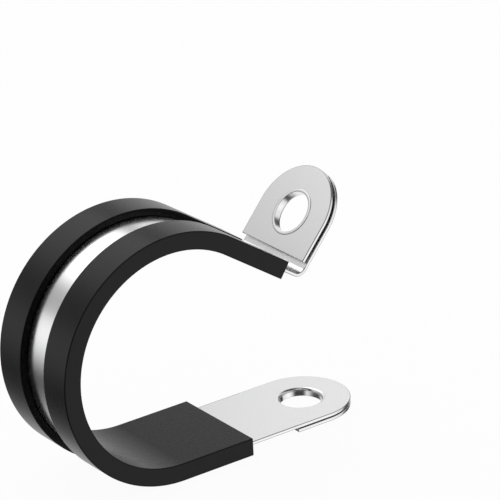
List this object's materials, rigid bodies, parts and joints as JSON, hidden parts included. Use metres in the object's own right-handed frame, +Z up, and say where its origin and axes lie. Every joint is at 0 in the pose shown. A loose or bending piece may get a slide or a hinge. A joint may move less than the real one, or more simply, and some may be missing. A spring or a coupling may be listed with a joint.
{
  "type": "cable clamp",
  "caption": "Open P-shaped cable clamp: a folded steel band with eyelet tabs, lined by a rubber channel that wraps the band's edges and grips a cable.",
  "frame": {"origin": "centre of the cable seat, midway across the clamp", "axes": "+Y along the cable, +X from the loop towards the tabs, +Z up from the flat lower leg"},
  "size_m": [0.0537, 0.017, 0.0382],
  "materials": {
    "stainless_steel": "smooth, lightly satin sheet",
    "black_rubber": "smooth matt extrusion"
  },
  "bodies": {
    "root": {"band": "stainless_steel", "cushion": "black_rubber"}
  },
  "joints": []
}
